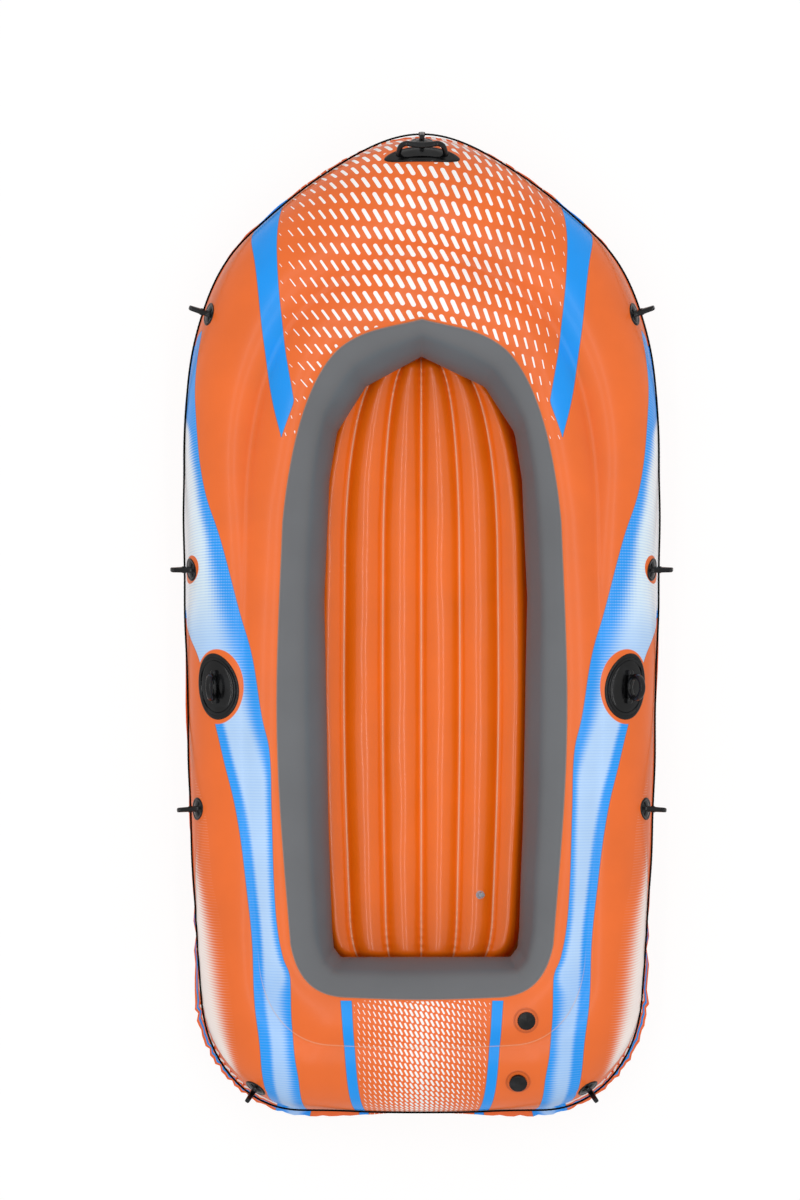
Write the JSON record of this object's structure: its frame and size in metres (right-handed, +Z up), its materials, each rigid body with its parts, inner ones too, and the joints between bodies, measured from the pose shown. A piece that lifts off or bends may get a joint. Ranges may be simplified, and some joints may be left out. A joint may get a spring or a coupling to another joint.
{
  "type": "inflatable boat",
  "caption": "Inflatable boat with double air chambers, a channelled air floor, a grab rope in moulded holders, a bow handle, hinged oar rings and capped valves.",
  "frame": {"origin": "on the ground under the middle of the bottom sheet", "axes": "+Y to the bow, +X to starboard, +Z up"},
  "size_m": [1.2552, 2.461, 0.3763],
  "materials": {
    "orange_vinyl": "printed vinyl, soft gloss",
    "floor_vinyl": "plain vinyl, soft gloss",
    "grey_vinyl": "plain vinyl, satin",
    "black_rubber": "moulded soft vinyl, glossy",
    "black_plastic": "moulded, glossy",
    "washer_rubber": "matt",
    "black_rope": "braided",
    "pin_steel": "plain",
    "clear_vinyl": "clear, glossy"
  },
  "bodies": {
    "hull": {"upper_skin": "orange_vinyl", "lower_skin": "orange_vinyl", "divider_web": "orange_vinyl", "bottom_sheet": "orange_vinyl", "cockpit_band": "grey_vinyl", "floor_top": "floor_vinyl", "floor_web_1": "floor_vinyl", "floor_web_2": "floor_vinyl", "floor_web_3": "floor_vinyl", "floor_web_4": "floor_vinyl", "floor_web_5": "floor_vinyl", "grab_rope": "black_rope", "bow_rope_holder": "black_rubber", "port_front_rope_holder": "black_rubber", "port_middle_rope_holder": "black_rubber", "port_rear_rope_holder": "black_rubber", "port_stern_rope_holder": "black_rubber", "starboard_front_rope_holder": "black_rubber", "starboard_middle_rope_holder": "black_rubber", "starboard_rear_rope_holder": "black_rubber", "starboard_stern_rope_holder": "black_rubber", "bow_handle": "black_rubber", "port_oarlock_base": "black_rubber", "starboard_oarlock_base": "black_rubber", "port_oarlock_pin": "pin_steel", "starboard_oarlock_pin": "pin_steel", "inner_valve_seat": "black_plastic", "outer_valve_seat": "black_plastic", "floor_valve_stem": "clear_vinyl"},
    "port_ring": {"port_oar_ring": "black_rubber"},
    "starboard_ring": {"starboard_oar_ring": "black_rubber"},
    "inner_seat_washer": {"inner_valve_seat_washer": "washer_rubber"},
    "inner_body": {"inner_valve_body": "black_plastic", "inner_valve_flap": "washer_rubber"},
    "inner_cap_washer": {"inner_valve_cap_washer": "washer_rubber"},
    "inner_cap": {"inner_valve_cap": "black_plastic"},
    "outer_seat_washer": {"outer_valve_seat_washer": "washer_rubber"},
    "outer_body": {"outer_valve_body": "black_plastic", "outer_valve_flap": "washer_rubber"},
    "outer_cap_washer": {"outer_valve_cap_washer": "washer_rubber"},
    "outer_cap": {"outer_valve_cap": "black_plastic"},
    "floor_plug": {"floor_valve_plug": "clear_vinyl"}
  },
  "joints": [
    {"name": "port_ring_tilt", "type": "hinge", "parent": "hull", "child": "port_ring", "pos_m": [-0.51776, -0.15024, 0.2865], "axis": [0.0363, -0.9993, 0], "range_deg": [-35, 60]},
    {"name": "starboard_ring_tilt", "type": "hinge", "parent": "hull", "child": "starboard_ring", "pos_m": [0.51776, -0.15024, 0.2865], "axis": [-0.0363, -0.9993, 0], "range_deg": [-50, 45]},
    {"name": "inner_body_lift", "type": "slide", "parent": "hull", "child": "inner_seat_washer", "axis": [0.0892, 0.0197, 0.9958], "range_m": [0, 0.012]},
    {"name": "inner_body_screw", "type": "hinge", "parent": "inner_seat_washer", "child": "inner_body", "pos_m": [0.258, -0.9765, 0.31149], "axis": [0.0892, 0.0197, 0.9958], "range_deg": [0, 1080]},
    {"name": "inner_cap_lift", "type": "slide", "parent": "inner_body", "child": "inner_cap_washer", "axis": [0.0892, 0.0197, 0.9958], "range_m": [0, 0.009]},
    {"name": "inner_cap_screw", "type": "hinge", "parent": "inner_cap_washer", "child": "inner_cap", "pos_m": [0.258, -0.9765, 0.31149], "axis": [0.0892, 0.0197, 0.9958], "range_deg": [0, 1080]},
    {"name": "outer_body_lift", "type": "slide", "parent": "hull", "child": "outer_seat_washer", "axis": [0.0117, -0.3763, 0.9264], "range_m": [0, 0.012]},
    {"name": "outer_body_screw", "type": "hinge", "parent": "outer_seat_washer", "child": "outer_body", "pos_m": [0.2387, -1.1307, 0.29888], "axis": [0.0117, -0.3763, 0.9264], "range_deg": [0, 1080]},
    {"name": "outer_cap_lift", "type": "slide", "parent": "outer_body", "child": "outer_cap_washer", "axis": [0.0117, -0.3763, 0.9264], "range_m": [0, 0.009]},
    {"name": "outer_cap_screw", "type": "hinge", "parent": "outer_cap_washer", "child": "outer_cap", "pos_m": [0.2387, -1.1307, 0.29888], "axis": [0.0117, -0.3763, 0.9264], "range_deg": [0, 1080]},
    {"name": "floor_plug_flip", "type": "hinge", "parent": "hull", "child": "floor_plug", "pos_m": [0.16102, -0.68706, 0.08225], "axis": [0.0018, 1, 0.0076], "range_deg": [0, 140]}
  ],
  "couplings": [
    {"joint": "inner_body_lift", "follows": "inner_body_screw", "m_per_rad": 0.00063662},
    {"joint": "inner_cap_lift", "follows": "inner_cap_screw", "m_per_rad": 0.00047746},
    {"joint": "outer_body_lift", "follows": "outer_body_screw", "m_per_rad": 0.00063662},
    {"joint": "outer_cap_lift", "follows": "outer_cap_screw", "m_per_rad": 0.00047746}
  ]
}
